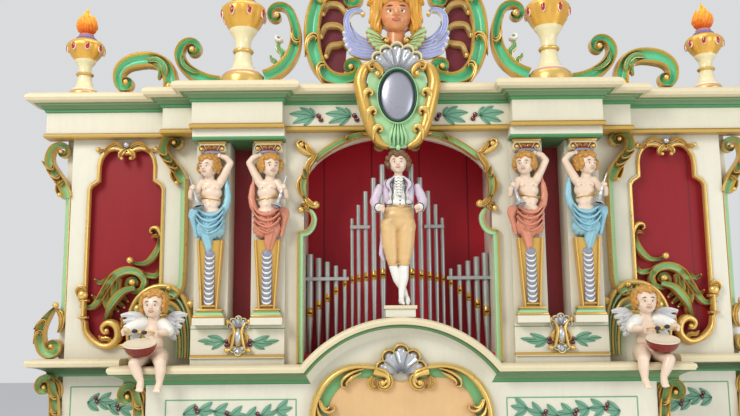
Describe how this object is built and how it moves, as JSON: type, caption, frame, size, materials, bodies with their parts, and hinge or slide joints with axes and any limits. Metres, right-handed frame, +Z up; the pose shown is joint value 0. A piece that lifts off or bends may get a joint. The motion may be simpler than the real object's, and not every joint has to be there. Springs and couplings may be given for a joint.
{
  "type": "fairground organ",
  "caption": "Fairground band organ: carved and painted front with cornice, pipes, figures and scrollwork on a hollow board case",
  "frame": {"origin": "on the floor under the middle of the whole organ", "axes": "+Z up, the carved front faces -Y, +X is the right side of someone who faces the front"},
  "size_m": [3.242, 1.1958, 3.185],
  "materials": {
    "green_paint": "painted",
    "case_board": "painted boards",
    "roof_felt": "felted board",
    "cream_paint": "satin paint",
    "moulding_paint": "satin paint",
    "gilt": "gilded carving",
    "red_board": "satin paint",
    "figure_paint": "painted carving",
    "chest_wood": "bare wood",
    "pipe_metal": "dull tin",
    "white_rail": "satin paint",
    "drum_paint": "gloss paint"
  },
  "bodies": {
    "organ": {"base_plinth": "green_paint", "case_floor": "case_board", "case_side_left": "case_board", "case_side_right": "case_board", "case_back": "case_board", "case_roof": "roof_felt", "lower_wing_left": "cream_paint", "lower_wing_right": "cream_paint", "lower_front": "cream_paint", "side_shelves": "moulding_paint", "front_shelf": "moulding_paint", "title_cartouche": "gilt", "bracket_scrolls": "gilt", "upper_panel_left": "cream_paint", "upper_panel_right": "cream_paint", "red_boards": "red_board", "panel_mouldings": "gilt", "side_scrolls_left": "gilt", "side_scrolls_right": "gilt", "pier_block_left": "cream_paint", "pier_block_right": "cream_paint", "gilt_shafts": "gilt", "pedestal_jewels": "gilt", "figure_left_outer": "figure_paint", "figure_left_inner": "figure_paint", "figure_right_inner": "figure_paint", "figure_right_outer": "figure_paint", "centre_board_left": "cream_paint", "centre_board_right": "cream_paint", "centre_scrollwork": "gilt", "pipe_chest": "chest_wood", "pipe_back": "red_board", "pipes_left": "pipe_metal", "pipes_right": "pipe_metal", "pipe_rails": "white_rail", "cornice_left": "moulding_paint", "cornice_right": "moulding_paint", "cornice_centre": "moulding_paint", "roof_scrolls": "gilt", "flame_finials": "gilt", "urns": "gilt", "shield_cartouche": "gilt", "crest_frame": "gilt", "crest_bust": "figure_paint", "master_stand": "cream_paint", "master_body": "figure_paint", "cherub_left": "figure_paint", "cherub_right": "figure_paint", "kettledrums": "drum_paint"},
    "head": {"master_head": "figure_paint"},
    "right_arm": {"master_arm_right": "figure_paint"},
    "left_arm": {"master_arm_left": "figure_paint"}
  },
  "joints": [
    {"name": "head_turn", "type": "hinge", "parent": "organ", "child": "head", "pos_m": [0, -0.454, 2.218], "axis": [0, 0, 1], "range_deg": [-30, 30]},
    {"name": "right_arm_beat", "type": "hinge", "parent": "organ", "child": "right_arm", "pos_m": [-0.068, -0.454, 2.182], "axis": [1, 0, 0], "range_deg": [0, 30]},
    {"name": "left_arm_beat", "type": "hinge", "parent": "organ", "child": "left_arm", "pos_m": [0.068, -0.454, 2.182], "axis": [1, 0, 0], "range_deg": [0, 25]}
  ]
}
